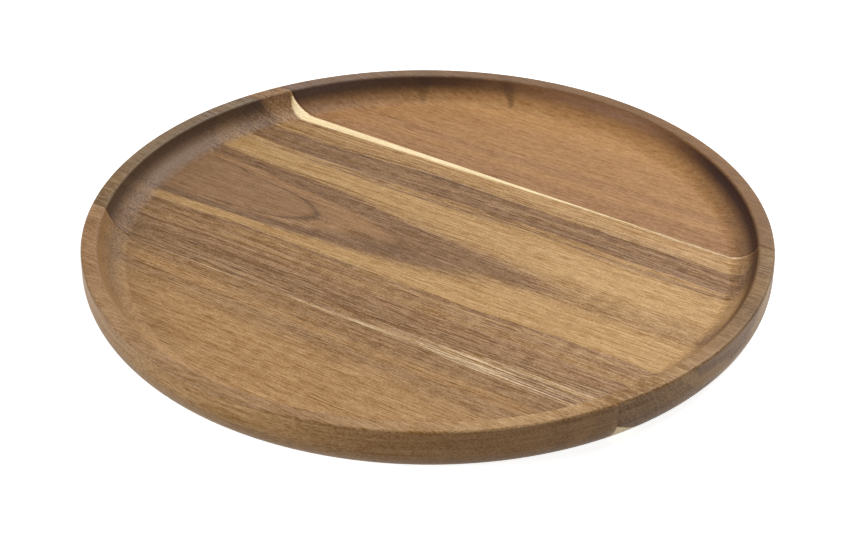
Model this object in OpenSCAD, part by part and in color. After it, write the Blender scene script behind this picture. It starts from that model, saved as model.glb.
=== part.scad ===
// Round serving board for pizza, turned from a panel of edge-glued acacia staves.
// Origin at the centre of the base, +Z up. The grain and the glue lines run along X, the rear is at +Y.

/* [Board] */
// Outer diameter at the straight side
board_d = 320; // [240:1:420]
// Overall height from the base to the rim's top
board_h = 20; // [17:0.5:30]

/* [Recess] */
// Depth of the floor below the rim's top
recess_depth = 11; // [8:0.5:13]
// Width of the rim from the straight side to the recess, before its edges are chamfered
rim_w = 7.5; // [5:0.5:14]
// Width of the curved wall, from the floor's edge to the rim
cove_w = 12.5; // [8:0.5:15]
// Radius of the curved wall
cove_r = 16; // [14:0.5:24]

/* [Edges] */
// Height above the base where the straight side starts to tuck in
tuck_h = 11; // [6:0.5:12]
// Radius of the curve that tucks the side in under the board
tuck_r = 15; // [13:0.5:24]
// Width of the chamfer on the rim's outer edge
rim_outer_chamfer = 0.7; // [0.3:0.1:1.5]
// Width of the chamfer on the rim's inner edge
rim_inner_chamfer = 0.7; // [0.3:0.1:1.5]

/* [Staves] */
// Distance of the rear glue line from the board's centre
rear_seam = 72.5; // [40:0.5:90]
// Distance of the front glue line from the board's centre
front_seam = 71.5; // [40:0.5:90]
// Thickness of each cured glue film
glue_t = 0.2; // [0.1:0.05:0.4]

/* [Hidden] */
$fn = 180;

// How far the cutting shapes reach past what they cut
over = 1;

board_r = board_d / 2;
opening_r = board_r - rim_w;
floor_r = opening_r - cove_w;
floor_z = board_h - recess_depth;

// The curved wall is an arc of cove_r through the floor's edge and the rim's inner corner
cove_chord = norm([cove_w, recess_depth]);
cove_reach = sqrt(pow(cove_r, 2) - pow(cove_chord / 2, 2));
cove_centre = [
  (floor_r + opening_r) / 2 - cove_reach * recess_depth / cove_chord,
  (floor_z + board_h) / 2 + cove_reach * cove_w / cove_chord
];

// The under-edge is an arc of tuck_r that leaves the straight side upright
tuck_centre = [board_r - tuck_r, tuck_h];

// A box given by two opposite corners
module corner_box(low, high) {
  translate(low)
    square(high - low);
}

// What is cut off an upper corner: a right triangle whose long side lies width away from the corner on both
// faces. It is on the outer side of the corner, or on the inner side where side is -1.
module chamfer(corner, width, side) {
  reach = width + over;
  translate(corner)
    polygon([[-side * reach, over], [side * over, -reach], [side * over, over]]);
}

// Half section of the recess: the floor's share, then the curved wall's
module recess_section() {
  corner_box([0, floor_z], [floor_r, board_h + over]);
  intersection() {
    corner_box([floor_r - over, floor_z], [board_r, board_h + over]);
    translate(cove_centre)
      circle(cove_r);
  }
}

// Half section of the board, from its axis outwards
module board_section() {
  difference() {
    square([board_r, board_h]);
    recess_section();
    chamfer([opening_r, board_h], rim_inner_chamfer, -1);
    chamfer([board_r, board_h], rim_outer_chamfer, 1);
    difference() {
      corner_box([tuck_centre[0], -over], [board_r + over, tuck_h]);
      translate(tuck_centre)
        circle(tuck_r);
    }
  }
}

// The share of the turned board between two planes across the grain
module board_between(y_from, y_to) {
  intersection() {
    rotate_extrude()
      board_section();
    translate([-board_r - over, y_from, -over])
      cube([board_d + 2 * over, y_to - y_from, board_h + 2 * over]);
  }
}

module rear_stave() {
  color("#a57a50")
    board_between(rear_seam + glue_t / 2, board_r + over);
}

module middle_stave() {
  color("#b28d5b")
    board_between(-front_seam + glue_t / 2, rear_seam - glue_t / 2);
}

module front_stave() {
  color("#9c7149")
    board_between(-board_r - over, -front_seam - glue_t / 2);
}

module rear_glue_line() {
  color("#d8b888")
    board_between(rear_seam - glue_t / 2, rear_seam + glue_t / 2);
}

module front_glue_line() {
  color("#d8b888")
    board_between(-front_seam - glue_t / 2, -front_seam + glue_t / 2);
}

rear_stave();
middle_stave();
front_stave();
rear_glue_line();
front_glue_line();
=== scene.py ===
import bpy
import numpy as np
from mathutils import Matrix, Vector


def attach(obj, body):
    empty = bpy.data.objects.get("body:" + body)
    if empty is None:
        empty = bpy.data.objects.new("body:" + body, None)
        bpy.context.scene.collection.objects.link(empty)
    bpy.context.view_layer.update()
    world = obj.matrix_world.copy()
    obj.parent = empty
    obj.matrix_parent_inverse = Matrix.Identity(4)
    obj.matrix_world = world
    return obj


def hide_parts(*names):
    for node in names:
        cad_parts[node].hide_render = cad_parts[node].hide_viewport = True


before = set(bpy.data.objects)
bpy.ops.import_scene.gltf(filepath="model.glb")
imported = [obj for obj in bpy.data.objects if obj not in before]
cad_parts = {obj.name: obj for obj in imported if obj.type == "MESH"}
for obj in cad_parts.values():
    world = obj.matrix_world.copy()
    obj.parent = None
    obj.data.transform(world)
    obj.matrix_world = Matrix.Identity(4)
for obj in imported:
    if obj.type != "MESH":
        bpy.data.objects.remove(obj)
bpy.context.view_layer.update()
print("frame loaded:", ", ".join(sorted(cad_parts)))

mm = 0.001  # the scene is in metres, every size below is in millimetres

# Camera: where the photograph was taken from, round the middle of the rim's top plane
shot = {
    "lens": 94.546,
    "sensor": 36.0,
    "nearClip": 10.0,
    "aim": (0.0, 0.0, 20.0),
    "distance": 1042.45,
    "azimuth": 33.86,
    "elevation": 31.227,
    "pan": -0.0043,
    "tilt": -1.0284,
    "roll": 0.3551,
}


# Turns two axes that are square to each other, the first towards the second
def turnAxes(first, second, degrees):
    c, s = np.cos(np.radians(degrees)), np.sin(np.radians(degrees))
    return c * first + s * second, c * second - s * first


def addCamera(shot):
    right, ahead = turnAxes(np.array([1.0, 0, 0]), np.array([0, 1.0, 0]), shot["azimuth"])
    ahead, up = turnAxes(ahead, np.array([0, 0, 1.0]), -shot["elevation"])
    place = np.array(shot["aim"]) - shot["distance"] * ahead
    ahead, right = turnAxes(ahead, right, shot["pan"])
    ahead, up = turnAxes(ahead, up, shot["tilt"])
    right, up = turnAxes(right, up, shot["roll"])
    data = bpy.data.cameras.new("camera")
    data.lens = shot["lens"]
    data.sensor_width = shot["sensor"]
    data.clip_start = shot["nearClip"] * mm
    camera = bpy.data.objects.new("camera", data)
    turned = Matrix(np.stack([right, up, -ahead], 1).tolist()).to_4x4()
    camera.matrix_world = Matrix.Translation(Vector(place * mm)) @ turned
    bpy.context.scene.collection.objects.link(camera)
    bpy.context.scene.camera = camera


addCamera(shot)
print("camera placed")

# The turned section, the same one that the staves are cut to
boardForm = {
    "radius": 160.0,
    "height": 20.0,
    "floorRadius": 140.0,
    "floorHeight": 9.0,
    "openingRadius": 152.5,
    "coveRadius": 16.0,
    "tuckRadius": 15.0,
    "tuckHeight": 11.0,
    "innerRound": 1.4,  # the rim's two upper edges
    "outerRound": 1.4,
    "baseRound": 1.5,
    "coveSteps": 28,
    "roundSteps": 10,
    "flatSteps": 8,
    "tuckSteps": 24,
    "turnSteps": 180,  # round an outer stave
    "acrossSteps": 96,  # across the middle stave
    "filmSteps": 1,  # across a glue line
}


# Points of a circle from one angle to another: the centre plus the radius times the angle's cosine and sine
def arc(centre, radius, start, stop, steps):
    angle = np.linspace(start, stop, steps + 1)
    return centre + radius * np.stack([np.cos(angle), np.sin(angle)], 1)


# Angle of the line from a centre to a point: the arc tangent of its rise over its run
def bearing(centre, point):
    return np.arctan2(point[1] - centre[1], point[0] - centre[0])


# Centre of a small round at a given height, where it touches a larger arc: the run is the square root of the
# distance between the two centres squared less the rise squared
def roundCentre(arcCentre, distance, height):
    rise = height - arcCentre[1]
    return arcCentre + [np.sqrt(distance ** 2 - rise ** 2), rise]


# Radius and height along the skin, from the floor's edge up the cove, over the rim and down to the base:
# five arcs and two straight runs, each tangent to the next
def turnedSection(form):
    floorEdge = np.array([form["floorRadius"], form["floorHeight"]])
    rimCorner = np.array([form["openingRadius"], form["height"]])
    chord = rimCorner - floorEdge
    length = np.hypot(*chord)
    reach = np.sqrt(form["coveRadius"] ** 2 - length ** 2 / 4)
    inner, outer, base = form["innerRound"], form["outerRound"], form["baseRound"]
    coveCentre = (floorEdge + rimCorner) / 2 + reach * np.array([-chord[1], chord[0]]) / length
    innerCentre = roundCentre(coveCentre, form["coveRadius"] + inner, form["height"] - inner)
    outerCentre = np.array([form["radius"], form["height"]]) - outer
    tuckCentre = np.array([form["radius"] - form["tuckRadius"], form["tuckHeight"]])
    baseCentre = roundCentre(tuckCentre, form["tuckRadius"] - base, base)

    quarter = np.pi / 2
    coveStart, coveStop = bearing(coveCentre, floorEdge), bearing(coveCentre, innerCentre)
    tuckStop = bearing(tuckCentre, baseCentre)
    cove = arc(coveCentre, form["coveRadius"], coveStart, coveStop, form["coveSteps"])
    innerEdge = arc(innerCentre, inner, coveStop + np.pi, quarter, form["roundSteps"])[1:]
    outerEdge = arc(outerCentre, outer, quarter, 0, form["roundSteps"])
    tuck = arc(tuckCentre, form["tuckRadius"], 0, tuckStop, form["tuckSteps"])
    baseEdge = arc(baseCentre, base, tuckStop, -quarter, form["roundSteps"])[1:]
    flat = np.linspace(0, 1, form["flatSteps"] + 1)[1:-1, None]
    rimTop = innerEdge[-1] + flat * (outerEdge[0] - innerEdge[-1])
    side = outerEdge[-1] + flat * (tuck[0] - outerEdge[-1])
    return np.concatenate([cove, innerEdge, rimTop, outerEdge, side, tuck, baseEdge])


# Quads of a grid of point numbers, each corner taken from the next row or column
def gridQuads(numbers):
    corners = [numbers[:-1, :-1], numbers[1:, :-1], numbers[1:, 1:], numbers[:-1, 1:]]
    return np.stack(corners, -1).reshape(-1, 4).tolist()


def addPiece(name, points, quads, flats, material, node):
    mesh = bpy.data.meshes.new(name)
    mesh.from_pydata((points * mm).tolist(), [], quads + [flat.tolist() for flat in flats])
    mesh.polygons.foreach_set("use_smooth", [True] * len(quads) + [False] * len(flats))
    mesh.materials.append(material)
    mesh.update()
    piece = bpy.data.objects.new(name, mesh)
    bpy.context.scene.collection.objects.link(piece)
    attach(piece, "root")
    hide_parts(node)


# A stave or film between two planes across the grain. At each place y along the way, a point of the section
# lies at the square root of radius squared less y squared, on the right and mirrored on the left.
def addBetween(name, section, low, high, steps, material, node):
    y = np.linspace(low, high, steps + 1)
    radius, height = section[:, :1], section[:, 1:]
    x = np.sqrt(radius ** 2 - y ** 2)
    rightSide = np.stack([x, y + 0 * x, height + 0 * x], -1)
    leftSide = rightSide * [-1, 1, 1]
    points = np.concatenate([rightSide.reshape(-1, 3), leftSide.reshape(-1, 3)])
    right = np.arange(x.size).reshape(x.shape)
    left = right + x.size
    flats = [
        np.concatenate([right[0], left[0, ::-1]]),  # floor
        np.concatenate([left[-1], right[-1, ::-1]]),  # base
        np.concatenate([right[:, -1], left[::-1, -1]]),  # rear face
        np.concatenate([left[:, 0], right[::-1, 0]]),  # front face
    ]
    addPiece(name, points, gridQuads(right) + gridQuads(left[:, ::-1]), flats, material, node)


# An outer stave beyond one plane. Each point of the section runs round the axis, from where its circle meets
# the plane on the right, at the arc sine of plane over radius, to where it meets it on the left. A half of 1
# is the rear, and -1 turns the stave half round to the front.
def addBeyond(name, section, plane, half, steps, material, node):
    radius, height = section[:, :1], section[:, 1:]
    start = np.arcsin(plane / radius)
    angle = start + np.linspace(0, 1, steps + 1) * (np.pi - 2 * start)
    x, y = radius * np.cos(angle), radius * np.sin(angle)
    points = np.stack([half * x, half * y, height + 0 * x], -1).reshape(-1, 3)
    numbers = np.arange(x.size).reshape(x.shape)
    flats = [
        numbers[0],  # floor
        numbers[-1, ::-1],  # base
        np.concatenate([numbers[::-1, 0], numbers[:, -1]]),  # glued face
    ]
    addPiece(name, points, gridQuads(numbers), flats, material, node)


# sRGB hex to linear light, with an alpha of one or as given
def linear(hexColour, alpha=1.0):
    part = np.array([int(hexColour[i:i + 2], 16) for i in (1, 3, 5)]) / 255
    light = np.where(part <= 0.04045, part / 12.92, ((part + 0.055) / 1.055) ** 2.4)
    return (*light.tolist(), alpha)


# Adds one node and gives its outputs: settings are its options, inputs are numbers, colours or links for
# its sockets, and stops are the places and colours of a ramp. Map Range has its value at 0, the span that it
# comes from at 1 and 2, and the one that it goes to at 3 and 4. Mix has its factor at 0, two numbers at 2
# and 3 with their result at 0, or two colours at 6 and 7 with theirs at 2.
def put(tree, kind, inputs=None, stops=None, **settings):
    node = tree.nodes.new("ShaderNode" + kind)
    for key, value in settings.items():
        setattr(node, key, value)
    for key, value in (inputs or {}).items():
        if isinstance(value, bpy.types.NodeSocket):
            tree.links.new(value, node.inputs[key])
        else:
            node.inputs[key].default_value = value
    if stops:
        ramp = node.color_ramp.elements
        while len(ramp) < len(stops):
            ramp.new(1.0)
        for element, (place, colour) in zip(ramp, stops):
            element.position, element.color = place, colour
    return node.outputs


def newMaterial(name):
    material = bpy.data.materials.new(name)
    material.use_nodes = True
    material.node_tree.nodes.clear()
    return material, material.node_tree


noiseSpan = (0.2, 0.8)  # a noise rarely goes past these


# The last nodes of a satin surface: a noise sets how rough it is and a height its bump
def addSurface(tree, colour, noise, height, finish):
    low, high = noiseSpan
    smooth, rough = finish["roughness"]
    rough = put(tree, "MapRange", {0: noise, 1: low, 2: high, 3: smooth, 4: rough})[0]
    bump = put(tree, "Bump", {
        "Strength": finish["bump"], "Distance": finish["bumpHeight"] * mm, "Height": height})[0]
    shader = put(tree, "BsdfPrincipled", {
        "Base Color": colour, "Roughness": rough, "Normal": bump,
        "IOR": finish["ior"], "Specular IOR Level": finish["specular"]})[0]
    put(tree, "OutputMaterial", {"Surface": shader})


# Tones of oiled acacia, from sapwood to the dark heart: colour, and how strongly the fibres show in it
tones = {
    "cream": ("#ffe9ba", 0.2),
    "pale": ("#dabd95", 0.6),
    "golden": ("#bb9562", 0.5),
    "tan": ("#a98558", 0.75),
    "brown": ("#97734e", 0.9),
    "heart": ("#95714d", 0.45),
    "hazel": ("#a07a53", 0.5),
    "dark": ("#876645", 0.9),
    "umber": ("#644729", 0.9),
    "bark": ("#8f6d49", 1.0),
    "sepia": ("#7d5d3f", 0.8),
    "amber": ("#b38756", 0.29),
    "russet": ("#a97e50", 0.31),
    "rust": ("#9f754d", 0.38),
    "sand": ("#b38c5c", 0.6),
    "fawn": ("#a88254", 0.6),
    "drab": ("#94724c", 0.85),
}

# The middle stave, cut flat from below the tree's heart, so that its rings show as bands and a tongue
middleGrain = {
    "seed": 0.0,  # moves its noises along
    "coarse": 0.75,  # how wide its fibres are
    "pith": -6.0,  # where the heart lay across the stave
    "pithDrift": 0.019,  # its drift across for each mm along
    "rise": 80.0,  # how fast the rings close towards the top
    "taper": {
        "start": 1180.0,  # the ring radius squared over the heart, at mid-length of the floor
        "heart": 4.7,  # how fast that grows along the grain, next to the heart
        "stop": 80.0,  # how far right it grows
        "rear": (28.0, 46.0, 0.4),  # where that starts to fade, where it has faded, and what is left
        "front": (12.0, 23.5, 0.8),
    },
    "ragged": 12.0,  # how far the edges of its bands fray
    "lines": (1.0, 1.7),  # how strong its growth lines are, near the heart and far from it
    "toneAlong": (0.82, 1.16),  # darker at the left end, lighter at the right
    "endTone": "brown",  # the tone that its end grain evens out to
    "endLow": 0.36,  # how much darker end grain is low inside,
    "endHighAndShade": (0.8, 0.88),  # high inside at the left and at the right, where it also paints the shade under the rim,
    "endOutside": 0.24,  # and on the outer side
    "wallShadeTint": ("#f6fbff", "#ece0be"),  # painted shade and grey-blue sheen high on the curved wall, at the left and at the right
    "sidePaintedSpan": (40.0, 120.0),  # from where to where along the grain the outer side's painted light and shade changes
    # the outer side's painted light and shade, at the left and at the right
    "sidePaintedTint": ("#f9f9f9", "#f1f5fb"),
    "sidePaintedLow": (0.8, 0.72),  # how light that side is painted towards the base: painted shade below 1, painted light above it
    "rimShare": 0.78,  # how far the rim's top takes its listed tones
    "rimLean": -1.0,  # the line along which its tones are listed leans by so many mm for each mm across
    "rimTones": [(-190, "#776553"), (-110, "#7d6545"), (140, "#7b5d38"), (190, "#a58154")],
    # ring radius and tone, outwards from the heart on each side of it
    "rearRings": [
        (20, "heart"), (29.75, "heart"), (30.0, "umber"), (30.25, "heart"), (31.4, "hazel"), (32.6, "hazel"),
        (33.6, "dark"), (38, "dark"), (38.8, "brown"), (39.9, "tan"), (44, "golden"), (53, "golden"),
        (55, "tan"), (56, "dark"), (57.2, "golden"), (58.3, "brown"), (60, "dark"), (63.4, "dark"),
        (64.4, "brown"), (66, "bark"), (70.2, "dark"), (70.8, "umber"), (71.6, "brown"), (74, "tan"),
        (79, "sand"), (95, "sand"),
    ],
    "frontRings": [
        (20, "heart"), (29.65, "heart"), (30.0, "umber"), (30.4, "brown"), (31.2, "hazel"), (32.2, "dark"),
        (34, "sepia"), (35.6, "dark"), (36.8, "tan"), (38, "golden"), (42, "golden"), (43.4, "tan"),
        (44, "bark"), (45.2, "brown"), (46, "tan"), (48, "brown"), (52, "tan"), (54, "brown"),
        (57, "brown"), (61, "bark"), (65, "bark"), (67.4, "brown"), (68.1, "tan"), (68.8, "dark"),
        (70.6, "dark"), (71.1, "tan"), (71.8, "dark"), (95, "dark"),
    ],
    "sapwood": [
        # tone, edge across, that edge's move for each mm along and up, softness, streaks, side, right end
        ("brown", 88.0, 0.22, 0.0, 2.0, 0.3, 1.0, 200.0),
        ("pale", 70.7, 0.0, 0.5, 1.2, 0.1, 1.0, 200.0),
        ("cream", 70.1, 0.028, 0.68, 0.8, 0.0, 1.0, 200.0),
        ("golden", -70.0, 0.012, -0.3, 0.8, 1.0, -1.0, 134.0),
        ("pale", -70.9, 0.002, 0.0, 0.35, 0.8, -1.0, -10.0),
        ("pale", -68.7, 0.095, -0.3, 5.0, 1.0, -1.0, 134.0),
        ("cream", -73.6, 0.0, -1.9, 0.8, 0.0, -1.0, 200.0),
    ],
    "knots": [],
}

# The rear stave, plain and reddish, cut far from the heart
rearGrain = {
    "seed": 31.0,
    "coarse": 1.4,
    "pith": 300.0,
    "pithDrift": 0.02,
    "rise": 120.0,
    "taper": None,
    "ragged": 10.0,
    "lines": (1.0, 1.0),
    "toneAlong": (0.95, 1.06),
    "endTone": "russet",
    "endLow": 0.45,
    "endHighAndShade": (0.78, 0.96),
    "endOutside": 0.2,
    "wallShadeTint": ("#cdcce0", "#e2cca0"),
    "sidePaintedSpan": (-100.0, 100.0),
    "sidePaintedTint": ("#f9f9f9", "#f9f9f9"),
    "sidePaintedLow": (0.8, 0.8),
    "rimShare": 0.8,
    "rimLean": 0.0,
    "rimTones": [(-140, "#776355"), (0, "#775838")],
    "rearRings": [(130, "russet"), (240, "russet")],
    "frontRings": [
        (130, "rust"), (150, "russet"), (158, "amber"), (172, "amber"), (180, "russet"), (188, "russet"),
        (200, "russet"), (206, "rust"), (212, "russet"), (220, "rust"), (240, "rust"),
    ],
    "sapwood": [],
    "knots": [
        # place along and across on the floor, lean along and across for each mm up, sharpness at the left
        (-40.4, 137.7, -0.88, 0.83, 1.0),
        (-82.3, 117.3, -0.49, 0.97, 0.5),
    ],
}

# The front stave, even and mid-brown, cut far from the heart
frontGrain = {
    "seed": 57.0,
    "coarse": 0.7,
    "pith": -330.0,
    "pithDrift": -0.02,
    "rise": 120.0,
    "taper": None,
    "ragged": 10.0,
    "lines": (0.45, 0.45),
    "toneAlong": (1.04, 1.08),
    "endTone": "fawn",
    "endLow": 0.45,
    "endHighAndShade": (0.33, 0.33),
    "endOutside": 0.2,
    "wallShadeTint": ("#ffffff", "#ffffff"),
    "sidePaintedSpan": (20.0, 70.0),
    "sidePaintedTint": ("#f6f6f6", "#e8e5e5"),
    "sidePaintedLow": (0.58, 1.1),
    "rimShare": 0.7,
    "rimLean": 0.0,
    "rimTones": [(45, "#967452"), (115, "#bf9a6b")],
    "rearRings": [
        (160, "sand"), (194, "sand"), (204, "fawn"), (229, "fawn"), (241, "drab"),
        (247, "fawn"), (252, "drab"), (270, "drab"),
    ],
    "frontRings": [(160, "fawn"), (270, "fawn")],
    "sapwood": [],
    "knots": [],
}

# Sizes of the grain in mm, along and across it, and the detail of its noise. Real fibres are about a quarter
# of a millimetre wide, too fine for the picture, so the finest ones here are drawn two to six times as wide.
grainSize = {
    "wander": (110.0, 26.0, 2.0),
    "ragged": (75.0, 3.4, 2.0),
    "fibre": (20.0, 1.1, 1.0),
    "dash": (5.0, 0.8, 0.0),
    "speck": (1.4, 0.75, 0.0),
    "streak": (60.0, 1.3, 1.0),
    "cloud": (34.0, 10.0, 2.0),
    "layer": (38.0, 1.8, 1.0),
}

# What the three staves share. Tones and tints given as numbers are shares of linear light.
acacia = {
    "noiseRoughness": 0.6,
    "wander": 10.0,  # how far the rings wander across
    "fray": (14.0, 27.0, 0.08),  # band edges fray less near the heart: from where, to where, how little
    "heartBlend": 4.0,  # how far from the heart the rings of its two sides blend
    "ends": 100.0,  # how far left and right a change along the board goes
    "streak": (0.42, 0.62),  # from where to where on their noise streaks of sapwood come up
    "sapwoodFade": 8.0,  # the length over which sapwood stops
    "knotWidth": 1.4,  # on the floor
    "knotSpread": 0.35,  # how much wider for each mm up
    "knotEdge": (0.2, 1.3),  # from where to where it fades, in widths
    "knotDark": 0.65,
    "lineSize": (150.0, 1.5),  # growth lines, along and across
    "lineDetail": 2.0,
    "lineLean": 0.6,  # how far they move across for each mm up
    "lineChange": (25.0, 45.0),  # how far from the heart they change strength
    "strength": {"line": 1.4, "fibre": 1.9, "dash": 1.2, "speck": 1.25, "cloud": 0.5, "layer": 1.9},
    "shadeLow": (0.56, 0.39, 0.04, 1.0),  # what the darkest and the palest fibres do to a tone
    "shadeHigh": (1.41, 1.53, 1.84, 1.0),
    "shadeRest": 0.5,  # half way between them leaves a tone about as it is
    "insideContrast": 0.3,  # what is left of the fibres on upright faces, inside and outside
    "outsideContrast": 0.75,
    "flatFrom": 0.9,  # a face that looks up by this much counts as flat
    "endFacing": (0.1, 0.5),  # how squarely a face looks along the grain where end grain starts and is full
    "endShadeHeights": (12.0, 16.0),  # between low end grain and high end grain with its painted shade
    "endTint": (0.95, 1.0, 1.04),  # end grain takes a little more of the blue than of the red
    "evenInside": (0.6, 0.2),  # how even its tone is inside, at the left and at the right
    "evenOutside": 0.35,
    "wallShadeHeights": (12.5, 16.0),  # where the curved wall's painted shade and sheen come in
    "sideHeights": (3.0, 13.0),  # where the outer side's painted shade or light changes towards the base
    "rimDepths": (1.2, 0.2),  # how far below the top the rim's tones start and are full
    "poreSize": (10.0, 0.75),  # real pores are a third as wide, too fine for the picture
    "poreChance": (0.45, 0.7),  # cells below the first are shut, those above the second are open
    "poreEdge": (0.3, 0.5),
    "poreTone": (0.48, 0.37, 0.22, 1.0),
    "poreDepth": 1.2,  # against the height of the fibres
    "roughness": (0.38, 0.52),
    "bump": 0.3,
    "bumpHeight": 0.12,
    "ior": 1.5,
    "specular": 0.2,
}


# A point in units of the grain's sizes, moved along for each stave so that no two are alike
def grainPlace(tree, point, sizes, grain):
    units = tuple(1 / size for size in sizes)
    return put(tree, "VectorMath", {
        0: point, 1: units, 2: (grain["seed"], 0, 0)}, operation="MULTIPLY_ADD")[0]


# Noises stretched along the grain, apart from layers, which lie flat in the stave
def grainNoises(tree, point, grain):
    noise = {}
    for key, (along, across, detail) in grainSize.items():
        across = across * grain["coarse"]
        wide = along if key == "layer" else across
        noise[key] = put(tree, "TexNoise", {
            "Vector": grainPlace(tree, point, (along, wide, across), grain), "Scale": 1.0,
            "Detail": detail, "Roughness": acacia["noiseRoughness"]})[0]
    return noise


# Ring radius: the way across from the heart squared, plus the taper along, less the rise, then its root.
# The rings wander by a few millimetres, and the edges of their bands fray along the grain. Also gives the
# share of the rear side's rings, and the way across that growth lines follow.
def ringRadius(tree, x, y, lift, noise, grain):
    reach = acacia["wander"] / 2
    wander = put(tree, "MapRange", {0: noise["wander"], 3: -reach, 4: reach})[0]
    y = put(tree, "Math", {0: y, 1: wander}, operation="ADD")[0]
    heart = put(tree, "Math", {0: x, 1: grain["pithDrift"], 2: grain["pith"]}, operation="MULTIPLY_ADD")[0]
    across = put(tree, "Math", {0: y, 1: heart}, operation="SUBTRACT")[0]
    flow = put(tree, "Math", {0: lift, 1: acacia["lineLean"], 2: across}, operation="MULTIPLY_ADD")[0]
    side = put(tree, "Math", {0: across}, operation="ABSOLUTE")[0]
    near, far, least = acacia["fray"]
    fray = put(tree, "MapRange", {0: side, 1: near, 2: far, 3: least, 4: 1.0})[0]
    reach = grain["ragged"] / 2
    ragged = put(tree, "MapRange", {0: noise["ragged"], 3: -reach, 4: reach})[0]
    across = put(tree, "Math", {0: ragged, 1: fray, 2: across}, operation="MULTIPLY_ADD")[0]
    blend = acacia["heartBlend"]
    rear = put(tree, "MapRange", {0: across, 1: -blend, 2: blend}, interpolation_type="SMOOTHSTEP")[0]

    along = 0.0
    taper = grain["taper"]
    if taper:
        side = put(tree, "Math", {0: across}, operation="ABSOLUTE")[0]
        growth = []
        for near, far, left in (taper["front"], taper["rear"]):
            growth.append(put(tree, "MapRange", {0: side, 1: near, 2: far, 3: taper["heart"], 4: left})[0])
        growth = put(tree, "Mix", {0: rear, 2: growth[0], 3: growth[1]})[0]
        along = put(tree, "Math", {0: x, 1: taper["stop"]}, operation="MINIMUM")[0]
        along = put(tree, "Math", {0: along, 1: growth, 2: taper["start"]}, operation="MULTIPLY_ADD")[0]
    along = put(tree, "Math", {0: lift, 1: -grain["rise"], 2: along}, operation="MULTIPLY_ADD")[0]
    square = put(tree, "Math", {0: across, 1: across, 2: along}, operation="MULTIPLY_ADD")[0]
    square = put(tree, "Math", {0: square, 1: 0.0}, operation="MAXIMUM")[0]
    return put(tree, "Math", {0: square}, operation="SQRT")[0], rear, flow


# A ramp through listed places, each given as its place and its colour
def addRamp(tree, value, places):
    low, high = places[0][0], places[-1][0]
    stops = [((place - low) / (high - low), colour) for place, colour in places]
    share = put(tree, "MapRange", {0: value, 1: low, 2: high})[0]
    return put(tree, "ValToRGB", {0: share}, stops)


# Colour and fibre strength from the lists of rings, and the change of tone from left to right
def ringTones(tree, ring, rear, x, grain):
    front, back = [
        addRamp(tree, ring, [(radius, linear(*tones[tone])) for radius, tone in grain[key]])
        for key in ("frontRings", "rearRings")
    ]
    colour = put(tree, "Mix", {0: rear, 6: front[0], 7: back[0]}, data_type="RGBA")[2]
    contrast = put(tree, "Mix", {0: rear, 2: front[1], 3: back[1]})[0]
    left, right = grain["toneAlong"]
    reach = boardForm["radius"]
    light = put(tree, "MapRange", {0: x, 1: -reach, 2: reach, 3: left, 4: right})[0]
    return put(tree, "VectorMath", {0: colour, "Scale": light}, operation="SCALE")[0], contrast


# Knots: dark cones round a leaning line, wider towards the rim, some of them drawn out to the left
def addKnots(tree, colour, x, y, lift, grain):
    dark = linear(tones["umber"][0])
    core, edge = acacia["knotEdge"]
    width = put(tree, "Math", {
        0: lift, 1: acacia["knotSpread"], 2: acacia["knotWidth"]}, operation="MULTIPLY_ADD")[0]
    for knotX, knotY, leanX, leanY, sharp in grain["knots"]:
        offset = []
        for place, start, lean in ((x, knotX, leanX), (y, knotY, leanY)):
            middle = put(tree, "Math", {0: lift, 1: lean, 2: start}, operation="MULTIPLY_ADD")[0]
            offset.append(put(tree, "Math", {0: place, 1: middle}, operation="SUBTRACT")[0])
        left = put(tree, "Math", {0: offset[0], 1: -sharp}, operation="MULTIPLY")[0]
        along = put(tree, "Math", {0: offset[0], 1: left}, operation="MAXIMUM")[0]
        gap = put(tree, "CombineXYZ", {0: along, 1: offset[1]})[0]
        gap = put(tree, "VectorMath", {0: gap}, operation="LENGTH")["Value"]
        gap = put(tree, "Math", {0: gap, 1: width}, operation="DIVIDE")[0]
        share = put(tree, "MapRange", {0: gap, 1: core, 2: edge, 3: acacia["knotDark"], 4: 0.0},
                    interpolation_type="SMOOTHSTEP")[0]
        colour = put(tree, "Mix", {0: share, 6: colour, 7: dark}, data_type="RGBA")[2]
    return colour


# End grain drinks more oil, so faces that look along the grain are darker and more even. High inside the rim
# the darkening is stronger, and that extra darkening is painted shade of the steep wall under the rim.
def addEndGrainAndShade(tree, colour, facing, outer, x, z, grain):
    start, full = acacia["endFacing"]
    end = put(tree, "MapRange", {0: facing, 1: start, 2: full}, interpolation_type="SMOOTHSTEP")[0]
    reach = acacia["ends"]
    left, right = acacia["evenInside"]
    even = put(tree, "MapRange", {0: x, 1: -reach, 2: reach, 3: left, 4: right})[0]
    even = put(tree, "Mix", {0: outer, 2: even, 3: acacia["evenOutside"]})[0]
    even = put(tree, "Math", {0: end, 1: even}, operation="MULTIPLY")[0]
    plain = linear(tones[grain["endTone"]][0])
    colour = put(tree, "Mix", {0: even, 6: colour, 7: plain}, data_type="RGBA")[2]

    # Painted shade under the rim: high inside, the darkening grows with height and differs left and right
    left, right = grain["endHighAndShade"]
    high = put(tree, "MapRange", {0: x, 1: -reach, 2: reach, 3: left, 4: right})[0]
    lower, upper = acacia["endShadeHeights"]
    dark = put(tree, "MapRange", {0: z, 1: lower, 2: upper, 3: grain["endLow"], 4: high})[0]
    dark = put(tree, "Mix", {0: outer, 2: dark, 3: grain["endOutside"]})[0]
    dark = put(tree, "Math", {0: end, 1: dark}, operation="MULTIPLY")[0]
    dark = put(tree, "VectorMath", {0: acacia["endTint"], "Scale": dark}, operation="SCALE")[0]
    light = put(tree, "VectorMath", {0: (1.0, 1.0, 1.0), 1: dark}, operation="SUBTRACT")[0]
    return put(tree, "VectorMath", {0: colour, 1: light}, operation="MULTIPLY")[0]


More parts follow.
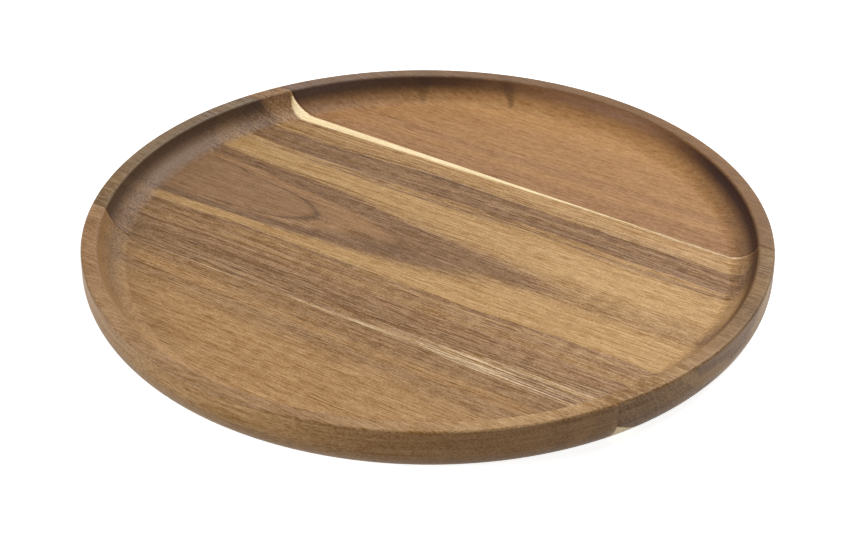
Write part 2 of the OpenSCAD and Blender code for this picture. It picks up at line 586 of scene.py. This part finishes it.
# A tint from left to right over the share of the surface that it covers, made lighter or darker by light
def addTint(tree, colour, share, away, tints, light):
    left, right = tints
    tint = put(tree, "Mix", {0: away, 6: linear(left), 7: linear(right)}, data_type="RGBA")[2]
    tint = put(tree, "VectorMath", {0: tint, "Scale": light}, operation="SCALE")[0]
    return put(tree, "Mix", {0: share, 6: colour, 7: tint}, data_type="RGBA", blend_type="MULTIPLY")[2]


# Painted light and shade: the outer side is painted lighter or darker from left to right and towards the
# base, and the curved wall gets painted shade and a grey-blue sheen high up. The rim's top is darker and
# greyer, most of all at the rear
def addPaintedShadeAndRimTones(tree, colour, outer, x, y, z, grain):
    # Painted light and shade on the outer side, from left to right and towards the base
    start, stop = grain["sidePaintedSpan"]
    away = put(tree, "MapRange", {0: x, 1: start, 2: stop})[0]
    left, right = grain["sidePaintedLow"]
    light = put(tree, "Mix", {0: away, 2: left, 3: right})[0]
    lower, upper = acacia["sideHeights"]
    light = put(tree, "MapRange", {0: z, 1: lower, 2: upper, 3: light, 4: 1.0})[0]
    colour = addTint(tree, colour, outer, away, grain["sidePaintedTint"], light)

    # Painted shade and a painted grey-blue sheen high on the curved wall
    lower, upper = acacia["wallShadeHeights"]
    wallShade = put(tree, "MapRange", {0: z, 1: lower, 2: upper})[0]
    wallShade = put(tree, "Mix", {0: outer, 2: wallShade, 3: 0.0})[0]
    reach = acacia["ends"]
    away = put(tree, "MapRange", {0: x, 1: -reach, 2: reach})[0]
    colour = addTint(tree, colour, wallShade, away, grain["wallShadeTint"], 1.0)

    # The rim's top takes listed tones, darker and greyer at the rear
    away = put(tree, "Math", {0: y, 1: grain["rimLean"], 2: x}, operation="MULTIPLY_ADD")[0]
    rim = addRamp(tree, away, [(place, linear(shade)) for place, shade in grain["rimTones"]])[0]
    start, full = [boardForm["height"] - depth for depth in acacia["rimDepths"]]
    top = put(tree, "MapRange", {0: z, 1: start, 2: full, 4: grain["rimShare"]})[0]
    return put(tree, "Mix", {0: top, 6: colour, 7: rim}, data_type="RGBA")[2]


# Sapwood over the rings: how far a place lies past the sapwood's edge, broken into streaks by the fibres
def addSapwood(tree, colour, contrast, x, y, lift, noise, grain):
    faint, full = acacia["streak"]
    for tone, edge, along, up, soft, streaks, side, stop in grain["sapwood"]:
        border = put(tree, "Math", {0: x, 1: along, 2: edge}, operation="MULTIPLY_ADD")[0]
        border = put(tree, "Math", {0: lift, 1: up, 2: border}, operation="MULTIPLY_ADD")[0]
        past = put(tree, "Math", {0: y, 1: border}, operation="SUBTRACT")[0]
        share = put(tree, "MapRange", {0: past, 1: -side * soft, 2: side * soft},
                    interpolation_type="SMOOTHSTEP")[0]
        streak = put(tree, "MapRange", {0: noise["streak"], 1: faint, 2: full, 3: 1.0 - streaks, 4: 1.0})[0]
        share = put(tree, "Math", {0: share, 1: streak}, operation="MULTIPLY")[0]
        end = put(tree, "MapRange", {0: x, 1: stop - acacia["sapwoodFade"], 2: stop, 3: 1.0, 4: 0.0})[0]
        share = put(tree, "Math", {0: share, 1: end}, operation="MULTIPLY")[0]
        shade, strength = tones[tone]
        colour = put(tree, "Mix", {0: share, 6: colour, 7: linear(shade)}, data_type="RGBA")[2]
        contrast = put(tree, "Mix", {0: share, 2: contrast, 3: strength})[0]
    return colour, contrast


# Growth lines that follow the rings, fibres, dashes, specks and cloudy patches together darken or lighten
# the tone, with flat layers on the outer side
def addFibres(tree, colour, contrast, x, flow, outer, noise, grain):
    along, across = acacia["lineSize"]
    place = put(tree, "CombineXYZ", {0: x, 1: flow})[0]
    place = put(tree, "VectorMath", {0: place, 1: (1 / along, 1 / across, 0)}, operation="MULTIPLY")[0]
    lines = put(tree, "TexNoise", {
        "Vector": place, "Scale": 1.0,
        "Detail": acacia["lineDetail"], "Roughness": acacia["noiseRoughness"]})[0]
    near, far = acacia["lineChange"]
    nearStrength, farStrength = grain["lines"]
    away = put(tree, "Math", {0: flow}, operation="ABSOLUTE")[0]
    away = put(tree, "MapRange", {0: away, 1: near, 2: far, 3: nearStrength, 4: farStrength})[0]

    shares = {"line": away, "layer": outer}
    total = 0.0
    for key, strength in acacia["strength"].items():
        value = lines if key == "line" else noise[key]
        part = put(tree, "MapRange", {0: value, 3: -strength / 2, 4: strength / 2})[0]
        total = put(tree, "Math", {
            0: part, 1: shares.get(key, 1.0), 2: total}, operation="MULTIPLY_ADD")[0]
    shade = put(tree, "Math", {0: total, 1: contrast, 2: acacia["shadeRest"]}, operation="MULTIPLY_ADD")[0]
    shade = put(tree, "Mix", {0: shade, 6: acacia["shadeLow"], 7: acacia["shadeHigh"]}, data_type="RGBA")[2]
    return put(tree, "Mix", {0: 1.0, 6: colour, 7: shade}, data_type="RGBA", blend_type="MULTIPLY")[2]


# Pores: stretched cells, of which about half are open. Also gives their depth, for the bump.
def addPores(tree, colour, contrast, point, grain):
    along, across = acacia["poreSize"]
    across = across * grain["coarse"]
    cell = put(tree, "TexVoronoi", {
        "Vector": grainPlace(tree, point, (along, across, across), grain), "Scale": 1.0})
    chance = put(tree, "SeparateColor", {0: cell["Color"]})[0]
    shut, wide = acacia["poreChance"]
    chance = put(tree, "MapRange", {0: chance, 1: shut, 2: wide})[0]
    core, edge = acacia["poreEdge"]
    pore = put(tree, "MapRange", {0: cell["Distance"], 1: core, 2: edge, 3: 1.0, 4: 0.0})[0]
    pore = put(tree, "Math", {0: pore, 1: chance}, operation="MULTIPLY")[0]
    dark = put(tree, "Math", {0: pore, 1: contrast}, operation="MULTIPLY")[0]
    colour = put(tree, "Mix", {
        0: dark, 6: colour, 7: acacia["poreTone"]}, data_type="RGBA", blend_type="MULTIPLY")[2]
    return colour, pore


# Oiled acacia, sanded and cut from flat boards: satin, with rings that follow the tree, fine fibres along
# the grain, and open pores that show as short dark dashes, or as dots where the end grain is cut
def oiledAcacia(name, grain):
    material, tree = newMaterial(name)
    place = put(tree, "TexCoord")
    point = put(tree, "VectorMath", {0: place["Object"], "Scale": 1 / mm}, operation="SCALE")[0]
    x, y, z = put(tree, "SeparateXYZ", {0: point})
    lift = put(tree, "Math", {0: z, 1: boardForm["floorHeight"]}, operation="SUBTRACT")[0]
    turned = put(tree, "VectorMath", {0: place["Normal"]}, operation="ABSOLUTE")[0]
    turned = put(tree, "SeparateXYZ", {0: turned})
    facing, level = turned[0], turned[2]  # how squarely a face looks along the grain, and up or down
    outer = put(tree, "VectorMath", {0: point, 1: (1.0, 1.0, 0.0)}, operation="MULTIPLY")[0]
    outer = put(tree, "VectorMath", {0: outer}, operation="LENGTH")["Value"]
    outer = put(tree, "MapRange", {0: outer, 1: boardForm["openingRadius"], 2: boardForm["radius"]})[0]

    noise = grainNoises(tree, point, grain)
    ring, rear, flow = ringRadius(tree, x, y, lift, noise, grain)
    colour, contrast = ringTones(tree, ring, rear, x, grain)
    colour = addKnots(tree, colour, x, y, lift, grain)
    colour = addEndGrainAndShade(tree, colour, facing, outer, x, z, grain)
    colour = addPaintedShadeAndRimTones(tree, colour, outer, x, y, z, grain)
    colour, contrast = addSapwood(tree, colour, contrast, x, y, lift, noise, grain)
    upright = put(tree, "Mix", {0: outer, 2: acacia["insideContrast"], 3: acacia["outsideContrast"]})[0]
    shown = put(tree, "MapRange", {0: level, 2: acacia["flatFrom"], 3: upright, 4: 1.0})[0]
    contrast = put(tree, "Math", {0: contrast, 1: shown}, operation="MULTIPLY")[0]
    colour = addFibres(tree, colour, contrast, x, flow, outer, noise, grain)
    colour, pore = addPores(tree, colour, contrast, point, grain)
    height = put(tree, "Math", {
        0: pore, 1: -acacia["poreDepth"], 2: noise["fibre"]}, operation="MULTIPLY_ADD")[0]
    addSurface(tree, colour, noise["fibre"], height, acacia)
    return material


# The two glue lines, where they lie and what they look like
glueFilm = {
    "thickness": 0.2,
    "rearSeam": 72.5,  # from the board's axis
    "frontSeam": 71.5,
    "clear": "#a8855a",
    "cloudy": "#8f6f4a",
    "cloudSize": 5.0,
    "cloudDetail": 3.0,
    "cloudEdge": (0.35, 0.65),
    "roughness": (0.42, 0.56),
    "bump": 0.2,
    "bumpHeight": 0.05,
    "ior": 1.48,
    "specular": 0.3,
}


# Cured wood glue, sanded flush: a pale hairline that has taken some of the oil
def curedGlue(name, film):
    material, tree = newMaterial(name)
    place = put(tree, "TexCoord")["Object"]
    place = put(tree, "VectorMath", {0: place, "Scale": 1 / (film["cloudSize"] * mm)}, operation="SCALE")[0]
    cloud = put(tree, "TexNoise", {"Vector": place, "Scale": 1.0, "Detail": film["cloudDetail"]})[0]
    clear, cloudy = film["cloudEdge"]
    stops = [(clear, linear(film["clear"])), (cloudy, linear(film["cloudy"]))]
    colour = put(tree, "ValToRGB", {0: cloud}, stops)[0]
    addSurface(tree, colour, cloud, cloud, film)
    return material


section = turnedSection(boardForm)
turnSteps, acrossSteps, filmSteps = [boardForm[key] for key in ("turnSteps", "acrossSteps", "filmSteps")]
halfFilm = glueFilm["thickness"] / 2
rearPlane, frontPlane = glueFilm["rearSeam"], glueFilm["frontSeam"]
glue = curedGlue("cured wood glue, sanded flush", glueFilm)
rearWood = oiledAcacia("acacia, sanded and oiled, rear", rearGrain)
middleWood = oiledAcacia("acacia, sanded and oiled, middle", middleGrain)
frontWood = oiledAcacia("acacia, sanded and oiled, front", frontGrain)
print("materials made")

addBeyond("rearStave", section, rearPlane + halfFilm, 1, turnSteps, rearWood,
          "rear_stave")
addBetween("middleStave", section, halfFilm - frontPlane, rearPlane - halfFilm, acrossSteps, middleWood,
           "middle_stave")
addBeyond("frontStave", section, frontPlane + halfFilm, -1, turnSteps, frontWood,
          "front_stave")
addBetween("rearGlueLine", section, rearPlane - halfFilm, rearPlane + halfFilm, filmSteps, glue,
           "rear_glue_line")
addBetween("frontGlueLine", section, -frontPlane - halfFilm, halfFilm - frontPlane, filmSteps, glue,
           "front_glue_line")
print("staves and glue lines built")

# Studio: a pale paper floor that the camera sees as white, an even sky, and soft lamps aimed at the board
studio = {
    "floorSize": 8000.0,
    "floorDrop": 0.2,
    "floorColour": "#dadad8",
    "floorGlow": 0.86,
    "skyStrength": 0.03,
    "lamps": [
        # name, azimuth round from the front, elevation, distance, width, power in watts
        ("key", 172.0, 50.0, 2200.0, 1400.0, 45.0),
        ("leftFill", 320.0, 25.0, 2200.0, 900.0, 26.0),
        ("frontFill", 75.0, 20.0, 2200.0, 900.0, 8.0),
    ],
}


# One for rays straight from the camera, mirrored ones and those that pass through, and nought for the rest
def seenRays(tree):
    ray = put(tree, "LightPath")
    seen = put(tree, "Math", {0: ray["Is Camera Ray"], 1: ray["Is Glossy Ray"]}, operation="MAXIMUM")[0]
    return put(tree, "Math", {0: seen, 1: ray["Is Transmission Ray"]}, operation="MAXIMUM")[0]


# Matt white paper: an even diffuse sheet, with a glow that only seen rays find
def addFloor(studio):
    half = studio["floorSize"] / 2
    corners = half * np.array([[-1, -1, 0], [1, -1, 0], [1, 1, 0], [-1, 1, 0]])
    corners[:, 2] = -studio["floorDrop"]
    mesh = bpy.data.meshes.new("floor")
    mesh.from_pydata((corners * mm).tolist(), [], [[0, 1, 2, 3]])
    floor = bpy.data.objects.new("floor", mesh)
    bpy.context.scene.collection.objects.link(floor)
    material, tree = newMaterial("matt white paper")
    plain = put(tree, "BsdfDiffuse", {"Color": linear(studio["floorColour"])})[0]
    glow = put(tree, "Emission", {"Strength": studio["floorGlow"]})[0]
    lit = put(tree, "AddShader", {0: plain, 1: glow})[0]
    paper = put(tree, "MixShader", {0: seenRays(tree), 1: plain, 2: lit})[0]
    put(tree, "OutputMaterial", {"Surface": paper})
    mesh.materials.append(material)


# White for seen rays, and a weak even light for the board
def addSky(studio):
    world = bpy.data.worlds.new("studio")
    world.use_nodes = True
    tree = world.node_tree
    tree.nodes.clear()
    strength = put(tree, "MapRange", {0: seenRays(tree), 3: studio["skyStrength"], 4: 1.0})[0]
    sky = put(tree, "Background", {"Color": (1.0, 1.0, 1.0, 1.0), "Strength": strength})[0]
    put(tree, "OutputWorld", {"Surface": sky})
    bpy.context.scene.world = world


def addLamps(studio):
    for name, azimuth, elevation, distance, width, power in studio["lamps"]:
        data = bpy.data.lights.new(name, "AREA")
        data.shape = "DISK"
        data.size = width * mm
        data.energy = power
        a, e = np.radians(azimuth), np.radians(elevation)
        back = Vector((np.sin(a) * np.cos(e), -np.cos(a) * np.cos(e), np.sin(e)))
        turned = back.to_track_quat("Z", "Y").to_matrix().to_4x4()
        lamp = bpy.data.objects.new(name, data)
        lamp.matrix_world = Matrix.Translation(back * distance * mm) @ turned
        bpy.context.scene.collection.objects.link(lamp)


addFloor(studio)
addSky(studio)
addLamps(studio)
bpy.context.scene.view_settings.view_transform = "Standard"
print("studio lit")
